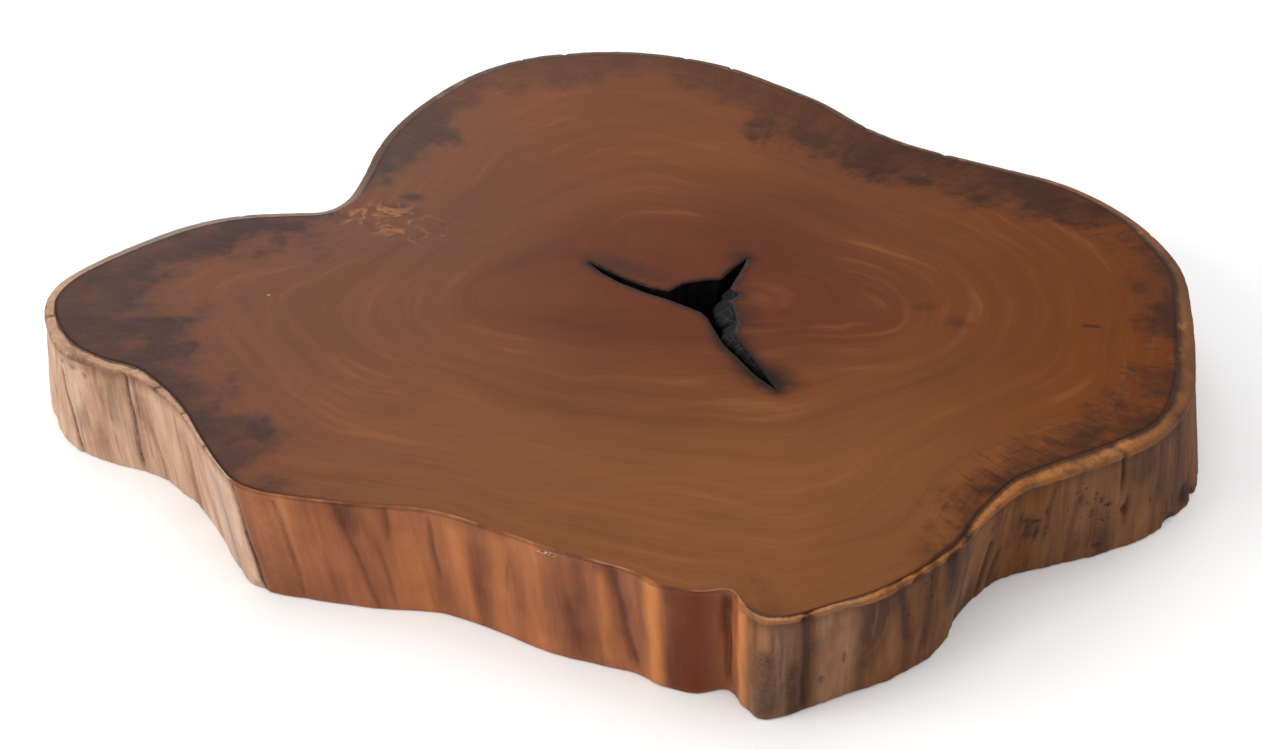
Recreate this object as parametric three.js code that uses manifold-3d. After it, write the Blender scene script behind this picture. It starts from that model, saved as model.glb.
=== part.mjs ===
// Live-edge wood slice: one thick cross-cut slab of a lobed trunk.
// Millimetres, +Z up, origin under the middle of the slab on the plane it rests on.
import * as THREE from "three";
import Module from "manifold-3d";

// Driving dimensions.
const THICKNESS = 80;
const RIM_DROP = 0.35;          // fall of the sapwood rim per millimetre of its width
const EASED_EDGE = 0.8;         // least fall of the top edge, where the rim is only an eased arris
const STEPS_PER_SPAN = 4;       // outline samples between two neighbouring outline points
const WALL_HEIGHTS = [0.3, 0.62, 0.88];
const CHECK_OVERRUN = 2;        // how far the cutter of the heart check passes both faces
const CHECK_MID = { height: 34, scale: 0.9, shiftX: -2, shiftY: 1 };
const CHECK_FOOT = { scale: 0.74, shiftX: -3, shiftY: 2 };

// Outline points, counter-clockwise from above, measured from the pith.
// Each is [x, y, rim, foot]: rim is the width of the lower sapwood rim outside the polished top,
// foot is how much further out (or in, if negative) the wall stands at the underside.
const FRONT_TOE = [
  [4, -285, 1, -3],
  [11, -297, 2, -5],
  [21, -305, 3, -4],
  [36, -304, 3, -4],
  [56, -296, 3, -6],
  [80, -286, 4, -7],
  [106, -269, 3, -3],
  [130, -247, 4, -3],
  [147, -222, 5, -7],
  [160, -206, 6, -8],
  [174, -192, 7, -7],
];
const RIGHT_LOBE = [
  [203, -176, 9, -3],
  [241, -157, 9, 2],
  [268, -138, 8, 7],
  [286, -106, 12, 15],
  [300, -62, 12, 16],
  [311, -16, 11, 14],
  [319, 30, 10, 12],
  [313, 66, 12, 10],
  [299, 105, 11, 8],
  [268, 145, 11, 6],
  [216, 176, 11, 5],
];
const RIGHT_HOLLOW = [
  [165, 206, 9, 4],
  [131, 236, 9, 4],
  [97, 281, 11, 5],
];
const BACK_LOBE = [
  [61, 315, 12, 5],
  [23, 345, 14, 6],
  [-15, 362, 14, 6],
  [-55, 370, 15, 6],
  [-95, 368, 15, 7],
  [-135, 358, 13, 7],
  [-172, 331, 13, 7],
  [-206, 285, 10, 6],
  [-227, 240, 9, 5],
];
const LEFT_HOLLOW = [
  [-237, 203, 8, 4],
  [-243, 160, 7, 2],
  [-252, 124, 7, 2],
  [-268, 107, 8, 3],
  [-297, 103, 10, 5],
];
const LEFT_LOBE = [
  [-329, 99, 12, 6],
  [-360, 86, 13, 6],
  [-389, 63, 12, 8],
  [-415, 37, 10, 11],
  [-429, 16, 9, 10],
  [-433, -5, 7, 10],
  [-425, -31, 7, 8],
  [-408, -56, 8, 6],
  [-386, -72, 5, 4],
  [-361, -83, 5, 3],
  [-341, -102, 4, 0],
  [-324, -123, 3, -1],
  [-306, -154, 2, -3],
  [-288, -183, 1, -1],
];
// The sawn-off front: the rim is cut away and only the eased arris is left.
const PLANED_FRONT = [
  [-278, -195, 1, 0],
  [-264, -203, 1, 0],
  [-240, -209, 1, 0],
  [-203, -215, 1, 1],
  [-163, -220, 1, 0],
  [-128, -235, 1, 0],
  [-96, -251, 1, 2],
  [-64, -264, 1, 0],
  [-48, -271, 1, -2],
  [-34, -281, 1, -3],
  [-14, -286, 1, -1],
];
const OUTLINE = [
  ...FRONT_TOE,
  ...RIGHT_LOBE,
  ...RIGHT_HOLLOW,
  ...BACK_LOBE,
  ...LEFT_HOLLOW,
  ...LEFT_LOBE,
  ...PLANED_FRONT,
];

// Three-armed heart check around the pith, counter-clockwise from the tip of the front arm.
const HEART_CHECK = [
  [41, -108],
  [32, -84],
  [24, -64],
  [17, -46],
  [20, -32],
  [18, -15],
  [15, -8],
  [23, 0],
  [17, 7],
  [21, 18],
  [27, 33],
  [31, 46],
  [20, 32],
  [12, 19],
  [0, 18],
  [-15, 13],
  [-24, 4],
  [-38, 9],
  [-55, 21],
  [-79, 41],
  [-70, 28],
  [-58, 16],
  [-40, 3],
  [-24, -6],
  [-11, -15],
  [-3, -21],
  [1, -28],
  [5, -42],
  [10, -58],
  [19, -74],
  [28, -91],
];

// Outward normal of a counter-clockwise closed outline at one of its points.
function outwardNormal(points, index) {
  const count = points.length;
  const before = points[(index + count - 1) % count];
  const after = points[(index + 1) % count];
  return new THREE.Vector2(after[1] - before[1], before[0] - after[0]).normalize();
}

// Outline points moved outward by the distance that reach() gives for each of them.
function offsetOutline(reach) {
  return OUTLINE.map((point, index) => {
    const normal = outwardNormal(OUTLINE, index).multiplyScalar(reach(point));
    return new THREE.Vector3(point[0] + normal.x, point[1] + normal.y, fallOf(point));
  });
}

// Height lost between the polished top and the outer edge of the rim.
function fallOf(point) {
  return Math.max(EASED_EDGE, point[2] * RIM_DROP);
}

// Smooth closed loop through the given points, sampled evenly within every span.
function smoothLoop(points) {
  const curve = new THREE.CatmullRomCurve3(points, true, "centripetal");
  const count = points.length * STEPS_PER_SPAN;
  return Array.from({ length: count }, (_, index) => curve.getPoint(index / count));
}

// Loop at a given height, between the foot loop (0) and the rim loop (1).
function wallLoop(foot, rim, fraction) {
  return foot.map((low, index) => {
    const high = rim[index];
    const height = (THICKNESS - high.z) * fraction;
    return new THREE.Vector3(
      THREE.MathUtils.lerp(low.x, high.x, fraction),
      THREE.MathUtils.lerp(low.y, high.y, fraction),
      height,
    );
  });
}

// Closed body from stacked loops with the same number of points, lowest first.
function stackLoops(loops) {
  const count = loops[0].length;
  const positions = loops.flat();
  const triangles = [];
  for (let row = 0; row + 1 < loops.length; row += 1) {
    for (let index = 0; index < count; index += 1) {
      const next = (index + 1) % count;
      const low = row * count;
      const high = low + count;
      triangles.push([low + index, low + next, high + next]);
      triangles.push([low + index, high + next, high + index]);
    }
  }
  const lowest = loops[0].map((point) => new THREE.Vector2(point.x, point.y));
  const highest = loops.at(-1).map((point) => new THREE.Vector2(point.x, point.y));
  const topStart = positions.length - count;
  for (const [a, b, c] of THREE.ShapeUtils.triangulateShape(lowest, [])) {
    triangles.push([a, c, b]);
  }
  for (const [a, b, c] of THREE.ShapeUtils.triangulateShape(highest, [])) {
    triangles.push([topStart + a, topStart + b, topStart + c]);
  }
  return { positions, triangles };
}

// The slab without its heart check.
function slabBody() {
  const top = smoothLoop(offsetOutline(() => 0));
  const rim = smoothLoop(offsetOutline((point) => point[2]));
  const foot = smoothLoop(offsetOutline((point) => point[2] + point[3]));
  return stackLoops([
    wallLoop(foot, rim, 0),
    ...WALL_HEIGHTS.map((fraction) => wallLoop(foot, rim, fraction)),
    wallLoop(foot, rim, 1),
    top.map((point) => new THREE.Vector3(point.x, point.y, THICKNESS)),
  ]);
}

// The void of the heart check, narrowing towards the underside.
function checkLoop(height, scale, shiftX, shiftY) {
  return HEART_CHECK.map(([x, y]) => (
    new THREE.Vector3(x * scale + shiftX, y * scale + shiftY, height)
  ));
}

function checkBody() {
  return stackLoops([
    checkLoop(-CHECK_OVERRUN, CHECK_FOOT.scale, CHECK_FOOT.shiftX, CHECK_FOOT.shiftY),
    checkLoop(CHECK_MID.height, CHECK_MID.scale, CHECK_MID.shiftX, CHECK_MID.shiftY),
    checkLoop(THICKNESS + CHECK_OVERRUN, 1, 0, 0),
  ]);
}

// Solids for the cut, and the finished mesh back as geometry.
function toManifold(wasm, body) {
  return new wasm.Manifold(new wasm.Mesh({
    numProp: 3,
    vertProperties: Float32Array.from(body.positions.flatMap((point) => point.toArray())),
    triVerts: Uint32Array.from(body.triangles.flat()),
  }));
}

function toGeometry(solid) {
  const mesh = solid.getMesh();
  const geometry = new THREE.BufferGeometry();
  geometry.setAttribute("position", new THREE.Float32BufferAttribute(mesh.vertProperties, 3));
  geometry.setIndex(Array.from(mesh.triVerts));
  return geometry;
}

// Moves the body so that the origin is the bottom centre of its bounding box.
function restOnOrigin(geometry) {
  geometry.computeBoundingBox();
  const { min, max } = geometry.boundingBox;
  geometry.translate(-(min.x + max.x) / 2, -(min.y + max.y) / 2, -min.z);
  geometry.computeVertexNormals();
  return geometry;
}

async function woodSlice() {
  const wasm = await Module();
  wasm.setup();
  const solid = toManifold(wasm, slabBody()).subtract(toManifold(wasm, checkBody()));
  const material = new THREE.MeshStandardMaterial({ color: 0x7d4e30, roughness: 0.45, metalness: 0 });
  const mesh = new THREE.Mesh(restOnOrigin(toGeometry(solid)), material);
  mesh.name = "wood_slice";
  return mesh;
}

const group = new THREE.Group();
group.name = "wood_slice_group";
group.add(await woodSlice());

export default group;
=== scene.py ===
"""Looks of the live-edge wood slice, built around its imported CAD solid."""
import math

import bpy
import numpy as np
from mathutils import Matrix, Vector, noise
from mathutils.geometry import delaunay_2d_cdt


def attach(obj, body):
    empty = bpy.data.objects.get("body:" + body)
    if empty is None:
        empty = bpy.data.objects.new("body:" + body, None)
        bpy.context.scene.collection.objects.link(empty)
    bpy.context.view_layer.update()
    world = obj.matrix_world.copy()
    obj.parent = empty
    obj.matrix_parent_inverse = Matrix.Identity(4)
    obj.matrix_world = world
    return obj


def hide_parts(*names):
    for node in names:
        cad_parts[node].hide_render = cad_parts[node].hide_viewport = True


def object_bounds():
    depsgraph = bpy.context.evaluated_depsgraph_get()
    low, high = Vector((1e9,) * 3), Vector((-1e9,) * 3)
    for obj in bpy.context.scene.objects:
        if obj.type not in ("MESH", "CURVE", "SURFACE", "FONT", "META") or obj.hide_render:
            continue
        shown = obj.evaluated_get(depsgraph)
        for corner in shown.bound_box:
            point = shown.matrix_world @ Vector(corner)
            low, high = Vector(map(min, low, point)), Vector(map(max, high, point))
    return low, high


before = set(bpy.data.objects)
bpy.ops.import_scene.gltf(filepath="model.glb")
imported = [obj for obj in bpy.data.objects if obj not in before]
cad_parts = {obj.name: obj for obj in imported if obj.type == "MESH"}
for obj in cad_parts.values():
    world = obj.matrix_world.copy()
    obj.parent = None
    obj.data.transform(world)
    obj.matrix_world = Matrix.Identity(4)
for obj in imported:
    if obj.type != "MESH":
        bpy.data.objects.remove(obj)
CAD_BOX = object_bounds()
MM = 0.001
TOP = CAD_BOX[1].z

COLUMNS = 1640          # wall columns round the outline
WALL_ROWS = 27          # rows between the rim and the underside
CHECK_STEP = 1.6 * MM   # spacing of points round the heart check
FACE_STEP = 5.6 * MM    # spacing of points on the top, finer than on the underside
RIM_STEP = 1.1 * MM     # step down from the polished top to the rim
FOOT_EDGE = 1.4 * MM    # height at which the wall's foot starts to round off

# Bead under the rim's outer edge: (fall in mm, push outward in mm, lip value).
RIM_BEAD = [(1.3, 0.35, 1.08), (2.8, 0.25, 1.2), (4.4, -0.9, 1.4)]

# Belts of points inside the outline of a flat face: (depth in mm, one point in so many columns).
EDGE_BELTS = [(2.2, 2), (5.0, 3), (9.0, 4)]

# Bearings of the sawn front's two ends, each at the top and at the foot.
SAWN_ENDS = [(-145.3, -143.1), (-87.9, -86.9)]

# Depths of the rows down the heart check, mm.
CHECK_DEPTHS = (0, 0.4, 1.0, 2.0, 3.2, 4.6, 6.4, 9, 13, 19, 28, 38, 50, 61, 70, 76, 79.4, 80)

# Width of the dark band inside the edge of the top: (bearing in degrees from the pith, mm).
DARK_BAND = [
    (-180, 57), (-176, 51), (-172, 41), (-168, 25), (-160, 21), (-153, 38), (-149, 38),
    (-146, 18), (-142, 5), (-130, 1), (-92, 1), (-87, 5), (-80, 1), (-70, 2), (-65, 6),
    (-57, 14), (-51, 14), (-44, 19), (-39, 18), (-36, 22), (-30, 17), (-22, 14), (-16, 5),
    (-10, 7), (0, 14), (10, 16), (17, 21), (23, 42), (31, 55), (49, 57), (61, 57), (73, 65),
    (80, 62), (86, 52), (96, 34), (102, 48), (111, 52), (116, 34), (122, 22), (126, 26),
    (130, 44), (136, 36), (141, 19), (146, 10), (153, 1), (157, 2), (160, 12), (165, 24),
    (170, 44), (173, 44), (175, 31), (180, 57),
]

# Long marks down the wall: (bearing at the top, bearing at the foot, lowest and highest
# height in mm, half width in mm, depth in mm, stain, glow). A glow above 0 is a lighter streak.
# Below 0 it is grey on the bark side and deep red on the sawn front.
WALL_MARKS = [
    (-172.8, -170.4, 0, 62, 1.4, 1.6, 1, 0),
    (-168.3, -167.6, 34, 72, 4.5, 0.3, 0.45, 0),
    (-167.2, -166.4, 4, 76, 1.7, 1.2, 1, 0),
    (-166.6, -165.6, 44, 76, 1.2, 1.3, 0.8, 0),
    (-165.9, -164.2, 0, 48, 1.6, 0.6, 0.55, 0),
    (-158.5, -152.5, 0, 60, 6, 0.5, 0.22, 0),
    (-151.5, -147, 0, 66, 9, 0.6, 0.16, -0.75),
    (-150.5, -147.5, 0, 60, 1.6, 0.5, 0.4, 0),
    (-145.3, -143.1, 0, 80, 2, 1.1, 1, 0),
    (-142.4, -140, 0, 80, 14, 0, 0.42, 0),
    (-141, -139.3, 0, 78, 3, 0.4, 0.65, 0),
    (-135.4, -132.4, 0, 80, 1.8, 0.4, 0.6, 0),
    (-133, -130.4, 6, 54, 1.6, 0.3, 0.4, 0),
    (-130.9, -130.6, 58, 80, 1.8, 0.5, 0.8, 0),
    (-129.5, -128.5, 0, 60, 8, 0, 0.15, 0.5),
    (-127, -125, 30, 72, 1.8, 0.4, 0.75, 0),
    (-123.5, -121.5, 0, 72, 7, 0, 0, 0.45),
    (-117.5, -116.8, 0, 76, 9, 0, 0, 0.4),
    (-116.2, -116.6, 36, 62, 1, 0.2, 0.5, 0),
    (-113, -113.4, 0, 60, 6, 0, 0, 0.35),
    (-107.3, -106.6, 4, 76, 4.5, 0.7, 0.5, 0),
    (-104.4, -103, 10, 74, 3, -0.5, 0, 0.45),
    (-102.8, -99.4, 8, 80, 3.2, 1.3, 0.85, 0),
    (-97.9, -97, 0, 80, 6.4, -1.1, 0, 1.5),
    (-93.2, -92.8, 0, 80, 14, 0.8, 0.3, -1),
    (-89.6, -89, 10, 74, 1.9, 3.2, 1, 0),
    (-88.4, -87.4, 0, 80, 3, -0.8, 0, 0.9),
    (-87, -86.4, 30, 80, 9, 0, 0, 0.7),
    (-86.4, -85.2, 0, 54, 9, 0.4, 0.78, 0),
    (-87.1, -86.3, 8, 76, 1.5, 0.5, 0.7, 0),
    (-85.3, -84.6, 0, 68, 1.2, 0.5, 0.7, 0),
    (-84.3, -84, 16, 70, 0.9, 0.7, 0.6, 0),
    (-83.2, -82.6, 0, 44, 5.5, 0.5, 0.7, 0),
    (-81.7, -81.3, 4, 80, 3.4, 1.7, 1, 0),
    (-78.2, -78, 0, 80, 12, 0, 0, 0.45),
    (-75, -74.6, 0, 70, 3, 0.4, 0.3, 0),
    (-71.4, -67.2, 26, 80, 4.5, 0.8, 0.85, 0),
    (-69, -68.6, 0, 40, 6, 0.3, 0.35, 0),
    (-66.2, -66.2, 16, 80, 4, 0.8, 0.8, 0),
    (-63, -60.8, 34, 80, 9, 0.8, 0.95, 0),
    (-58.4, -58.6, 0, 60, 3, 0.6, 0.6, 0),
    (-56.2, -57.2, 10, 74, 4, -0.4, 0, 0.4),
    (-52, -53.4, 4, 48, 3, 1, 0.95, 0),
    (-49.6, -50.6, 0, 34, 2.4, 1, 0.9, 0),
    (-47.8, -48.2, 0, 26, 2.6, -0.5, 0, 0.5),
    (-43.4, -43, 30, 72, 2.2, 0.6, 0.6, 0),
    (-39.8, -39.6, 0, 80, 2, 0.5, 0.35, 0),
    (-34.2, -33.8, 50, 78, 1.8, 1.4, 1, 0),
    (-33.2, -32.8, 22, 42, 2, 1.2, 1, 0),
    (-28.2, -28, 26, 72, 5, 0.5, 0.45, 0),
    (-24.6, -23.4, 4, 80, 9, 0.4, 0.6, 0),
    (-14, -13.5, 0, 60, 2.5, 0.8, 0.6, 0),
]

# Short marks on the wall: (bearing, height, half width, half height, depth, stain), mm.
WALL_SPOTS = [
    (-172, 68, 1.5, 1.4, 1.2, 1),
    (-170.8, 68, 4, 0.9, 0.4, 0.7),
    (-169.8, 66, 1.8, 1.6, 1.2, 1),
    (-170.2, 30, 7, 9, 0.2, 0.4),
    (-166.2, 75, 1.8, 1.3, 0.8, 0.9),
    (-177, 79, 1.2, 1.6, 0.6, 0.9),
    (-174.3, 77, 3, 0.8, 0.5, 0.8),
    (-163.4, 78, 1.5, 1.8, 0.7, 0.9),
    (-158.2, 79, 1.2, 1.6, 0.7, 0.9),
    (-154.5, 76, 2.2, 1, 0.8, 0.9),
    (-151.8, 79, 1.2, 1.8, 0.7, 0.9),
    (-149.8, 76, 1.6, 1.4, 1, 1),
    (-143.6, 3, 5, 4, 1.2, 0.3),
    (-110.9, 75, 6.5, 2.4, 0.9, 0.8),
    (-79.5, 22, 1.9, 1.8, 1, 0.9),
    (-77, 34, 1.2, 5, 0.5, 0.6),
    (-81.8, 75, 4, 4, 2, 1),
    (-68.6, 76, 5, 3.5, 1.6, 0.9),
    (-63, 75, 7, 3.5, 1.6, 0.9),
    (-60.5, 79, 9, 3.5, 0.2, 0.9),
    (-66.5, 79, 5, 3, 0.2, 0.7),
    (-45.4, 40, 10, 14, 0.3, 0.35),
    (-47.2, 50, 1.4, 6, 0.8, 0.9),
    (-46.2, 47, 5, 1.3, 0.6, 0.8),
    (-45.8, 40, 1.6, 7, 0.8, 0.95),
    (-44.7, 44, 4.5, 1.2, 0.6, 0.9),
    (-44.3, 34, 1.7, 7, 0.8, 0.95),
    (-45.6, 33, 4.5, 1.4, 0.6, 0.8),
    (-43.6, 50, 1.3, 4, 0.6, 0.8),
    (-39.2, 51, 1.6, 4, 0.8, 0.8),
    (-38.2, 45, 3.6, 1.1, 0.6, 0.7),
    (-37.4, 38, 1.2, 3.2, 0.8, 0.8),
    (-36.4, 47, 1.5, 1.5, 1.2, 1),
    (-35.4, 41, 2.6, 1.3, 0.8, 0.8),
    (-36, 9, 3.4, 2.2, 1.2, 0.9),
    (-33.2, 32, 2.2, 3.4, 1.8, 1),
    (-30.4, 58, 1.3, 1.3, 1, 1),
    (-29.6, 30, 1.2, 2, 0.8, 0.9),
    (-25.6, 2, 7, 5, 2.6, 0.9),
    (-22.6, 12, 10, 9, 1, 0.9),
    (-20.2, 3, 4, 6, 2.8, 0.8),
    (-8, 40, 1.5, 1.5, 1.2, 1),
    (-3, 60, 1.4, 1.4, 1.2, 1),
]

# How clean and lit the bark-side wall is: (bearing, 0 weathered brown to 1 pale). Its darkness
# towards the right is partly weathering and partly painted shade, on the side turned from the key
# light.
WALL_TONE = [
    (-180, 0.9), (-146, 1.0), (-88, 0.32), (-85, 0.42), (-83, 0.2), (-81, 0.15), (-80, 0.45),
    (-76.5, 0.3), (-74.5, 0.08), (-66, 0.02), (-58, 0.1), (-52, 0.02), (-45, 0.02), (-40, 0.12),
    (-34, 0.1), (-28, 0.08), (-20, 0.0), (0, 0.03), (40, 0.2), (90, 0.35), (130, 0.4),
    (160, 0.7), (180, 0.9),
]

# Ledges broken out of the check's right side: (distance behind the pith, reach inward), mm.
LEDGES = [
    (-100, 0), (-80, 2.5), (-60, 4.5), (-46, 7), (-34, 9), (-32, 3), (-29, 10), (-14, 12),
    (-5, 8), (-3, 2), (0, 2), (2, 6), (8, 5), (12, 0),
]

# Tips of the heart check's arms and ends of the trunk's lobed core, from the pith, mm.
CHECK_TIPS = [(41, -108), (31, 46), (-79, 41)]
CORE_ENDS = [(-125, 4), (110, -22), (-35, 75)]

# Colour ramps, as (position, display colour): the sawn front, the pale and the weathered wall, the
# weathered one partly darkened as painted shade, and the underside.
FRONT_STOPS = [
    (0.38, (97, 52, 34)), (0.46, (129, 76, 48)), (0.53, (145, 87, 55)), (0.62, (170, 107, 66)),
]
PALE_STOPS = [
    (0.38, (150, 110, 86)), (0.46, (178, 141, 116)), (0.54, (189, 155, 131)), (0.64, (203, 172, 150)),
]
WEATHERED_SHADED_STOPS = [
    (0.4, (70, 37, 13)), (0.46, (93, 52, 20)), (0.54, (114, 66, 27)), (0.62, (141, 90, 45)),
]
UNDER_STOPS = [
    (0.0, (88, 52, 36)), (0.3, (116, 74, 50)), (0.7, (134, 90, 62)), (1.0, (142, 100, 72)),
]

# Small patches on the top: (x, y, half width, half depth, turn, softness, strength, colour), mm.
TOP_SPOTS = [
    (251, -37, 6.5, 1.8, -8, 0.4, 0.75, (44, 20, 8)),
    (165, -33, 7, 6, 0, 0.8, 0.5, (52, 25, 16)),
    (145, -14, 8, 4, 10, 0.9, 0.4, (60, 30, 18)),
    (293, 9, 6, 7, 0, 0.8, 0.55, (46, 24, 10)),
    (301, -18, 4, 7, 0, 0.8, 0.55, (44, 24, 12)),
    (-209, 130, 8, 5, -10, 0.8, 0.75, (44, 26, 20)),
    (-219, 112, 13, 8, -12, 0.9, 0.65, (56, 34, 26)),
    (-231, 154, 5, 7, 0, 0.7, 0.6, (44, 28, 22)),
    (37, -93, 17, 12, -35, 0.9, 0.85, (20, 13, 13)),
    (28, 46, 9, 9, 0, 0.9, 0.6, (28, 17, 16)),
    (-56, 36, 26, 8, -30, 0.9, 0.5, (36, 20, 17)),
    (28, -24, 9, 24, 0, 0.9, 0.4, (40, 22, 18)),
    (-292, 0, 1.2, 1.2, 0, 0.3, 0.6, (180, 150, 125)),
]


# -------- outlines from the CAD solid

def cad_mesh():
    """Merged vertices and triangles of the CAD solid."""
    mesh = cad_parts["wood_slice"].data
    points = np.empty(len(mesh.vertices) * 3)
    mesh.vertices.foreach_get("co", points)
    mesh.calc_loop_triangles()
    triangles = np.empty(len(mesh.loop_triangles) * 3, int)
    mesh.loop_triangles.foreach_get("vertices", triangles)
    merged, index = np.unique(np.round(points.reshape(-1, 3), 6), axis=0, return_inverse=True)
    return merged, index.reshape(-1)[triangles].reshape(-1, 3)


def face_loops(points, triangles, level):
    """Closed loops that bound the flat face at a level: the outline first, then the check."""
    flat = triangles[(abs(points[triangles][:, :, 2] - level) < 1e-5).all(1)]
    edges = {(int(t[k]), int(t[(k + 1) % 3])) for t in flat for k in range(3)}
    following = {a: b for a, b in edges if (b, a) not in edges}
    loops = []
    while following:
        start = next(iter(following))
        chain = [start]
        step = following.pop(start)
        while step != start:
            chain.append(step)
            step = following.pop(step)
        loops.append(points[chain][:, :2])
    return sorted(loops, key=lambda loop: -np.ptp(loop[:, 0]))


def evenly(curve, count):
    """A closed polyline resampled to evenly spaced points."""
    closed = np.vstack([curve, curve[:1]])
    walked = np.concatenate([[0], np.cumsum(np.linalg.norm(np.diff(closed, axis=0), axis=1))])
    wanted = np.arange(count) * walked[-1] / count
    return np.stack([np.interp(wanted, walked, closed[:, k]) for k in range(2)], axis=1)


def smoothed(points, parts=8):
    """Closed Catmull-Rom curve through the given points."""
    before, after, far = np.roll(points, 1, 0), np.roll(points, -1, 0), np.roll(points, -2, 0)
    t = np.linspace(0, 1, parts, endpoint=False)[:, None, None]
    curve = 0.5 * (
        2 * points + (after - before) * t
        + (2 * before - 5 * points + 4 * after - far) * t ** 2
        + (3 * points - before - 3 * after + far) * t ** 3
    )
    return curve.transpose(1, 0, 2).reshape(-1, 2)


def bearing(points):
    """Bearing of points from the pith, in degrees."""
    return np.degrees(np.arctan2(points[:, 1] - PITH[1], points[:, 0] - PITH[0]))


def by_bearing(degrees, values, wanted):
    """Values known at some bearings, read at others."""
    order = np.argsort(degrees)
    return np.interp(wanted, degrees[order], values[order], period=360)


def radius(points):
    """Distance of points from the pith."""
    return np.hypot(points[:, 0] - PITH[0], points[:, 1] - PITH[1])


def by_table(table, degrees):
    """Values of a table of (bearing, value), read at other bearings."""
    return np.interp(degrees, *zip(*table))


def wound(loop, clockwise=False):
    """The same loop, run counter-clockwise or clockwise."""
    x, y = loop.T
    area = (x * np.roll(y, -1) - y * np.roll(x, -1)).sum()
    return loop if (area < 0) == clockwise else loop[::-1]


def from_front(loop):
    """The same loop, started at its point nearest the front."""
    return np.roll(loop, -int(np.argmin(loop[:, 1])), axis=0)


points, triangles = cad_mesh()
top_outline, top_check = face_loops(points, triangles, TOP)[:2]
foot_outline, foot_check = face_loops(points, triangles, 0.0)[:2]
# The pith lies this far to the right of and behind the low corner of the check's outline.
PITH = top_check.min(0) + np.array([78.8, 107.6]) * MM


# -------- relief

def grain(where, across, along, octaves=3):
    """Fractal noise stretched along the trunk, for points in metres."""
    lean = 0.06
    return np.array([
        noise.fractal(Vector(((x + lean * z) * across, y * across, z * along)), 0.9, 2.0, octaves)
        for x, y, z in where
    ])


def ease(value, low, high):
    """Smooth step from 0 at low to 1 at high."""
    t = np.clip((value - low) / (high - low), 0, 1)
    return t * t * (3 - 2 * t)


def hidden_marks():
    """Marks of the side turned away, of the same kinds as those in front."""
    rng = np.random.default_rng(11)
    marks, spots = [], []
    for start in np.arange(-8, 178, 7.0):
        top = start + rng.uniform(-2, 2)
        low = rng.uniform(0, 30)
        marks.append((top, top + rng.uniform(-1.5, 1.5), low, low + rng.uniform(25, 80),
                      rng.uniform(1, 4), rng.uniform(0.3, 1.4), rng.uniform(0.3, 0.9), 0.0))
        spots.append((start + rng.uniform(-3, 3), rng.uniform(8, 70), rng.uniform(1.2, 2.0),
                      rng.uniform(1.2, 2.2), 1.2, 1.0))
    return marks, spots


HIDDEN_MARKS, HIDDEN_SPOTS = hidden_marks()


def mark_wall(columns, heights):
    """Depth, stain and glow of all marks for wall points given by arc length and height."""
    depth, stain, glow = np.zeros((3, len(columns)))

    def apart(centre):
        away = abs(columns - centre)
        return np.minimum(away, PERIMETER - away)

    for upper, lower, low, high, half, deep, dark, bright in WALL_MARKS + HIDDEN_MARKS:
        wander = 0.6 * np.sin(heights * 60 + upper * 7) + 0.4 * np.sin(heights * 170 + upper * 3)
        centre = leaning_line(upper, lower, heights) + wander * MM
        fade = ease(heights, low * MM - 6 * MM, low * MM + 6 * MM)
        fade = fade * (1 - ease(heights, high * MM - 5 * MM, high * MM + 5 * MM))
        shape = np.exp(-(apart(centre) / (half * MM)) ** 2) * fade
        depth += deep * MM * shape
        stain = np.maximum(stain, dark * shape)
        glow += bright * shape
    for at, height, half, tall, deep, dark in WALL_SPOTS + HIDDEN_SPOTS:
        away = np.hypot(apart(length_at(at)) / (half * MM), (heights - height * MM) / (tall * MM))
        shape = np.exp(-away ** 4)
        depth += deep * MM * shape
        stain = np.maximum(stain, dark * shape)
    return depth, stain, glow


# -------- the slab's surface

class Surface:
    """Vertices, faces and per-vertex values of the mesh as it grows."""

    NAMES = ("ring", "edge", "band", "halo", "stain", "glow", "level", "lip", "sawn", "tone")

    def __init__(self):
        self.points = []
        self.values = {name: [] for name in self.NAMES}
        self.faces = []
        self.slots = []
        self.count = 0
        self.later = []

    def add_points(self, where, **values):
        """Adds points and returns their indices."""
        first = self.count
        self.points.append(where)
        for name in self.NAMES:
            given = values.get(name, 0.0)
            self.values[name].append(np.broadcast_to(np.asarray(given, float), len(where)))
        self.count += len(where)
        return np.arange(first, self.count)

    def add_faces(self, faces, slot):
        self.faces.extend(faces)
        self.slots.extend([slot] * len(faces))

    def set_values(self, index, **values):
        """Sets values of points that are there already."""
        self.later.append((index, values))

    def final_values(self):
        result = {name: np.concatenate(parts) for name, parts in self.values.items()}
        for index, given in self.later:
            for name, numbers in given.items():
                result[name][index] = numbers
        return result

    def add_rows(self, upper, lower, slot):
        """Quads between two closed rows, facing out when the rows run counter-clockwise."""
        upper_next, lower_next = np.roll(upper, -1), np.roll(lower, -1)
        quads = np.stack([upper, lower, lower_next, upper_next], axis=1)
        self.add_faces(quads.tolist(), slot)


slab = Surface()
TOP_SLOT, RIM_SLOT, WALL_SLOT, UNDER_SLOT, CHECK_SLOT = range(5)

outline = evenly(smoothed(wound(top_outline)), COLUMNS)
theta = bearing(outline)

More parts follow.
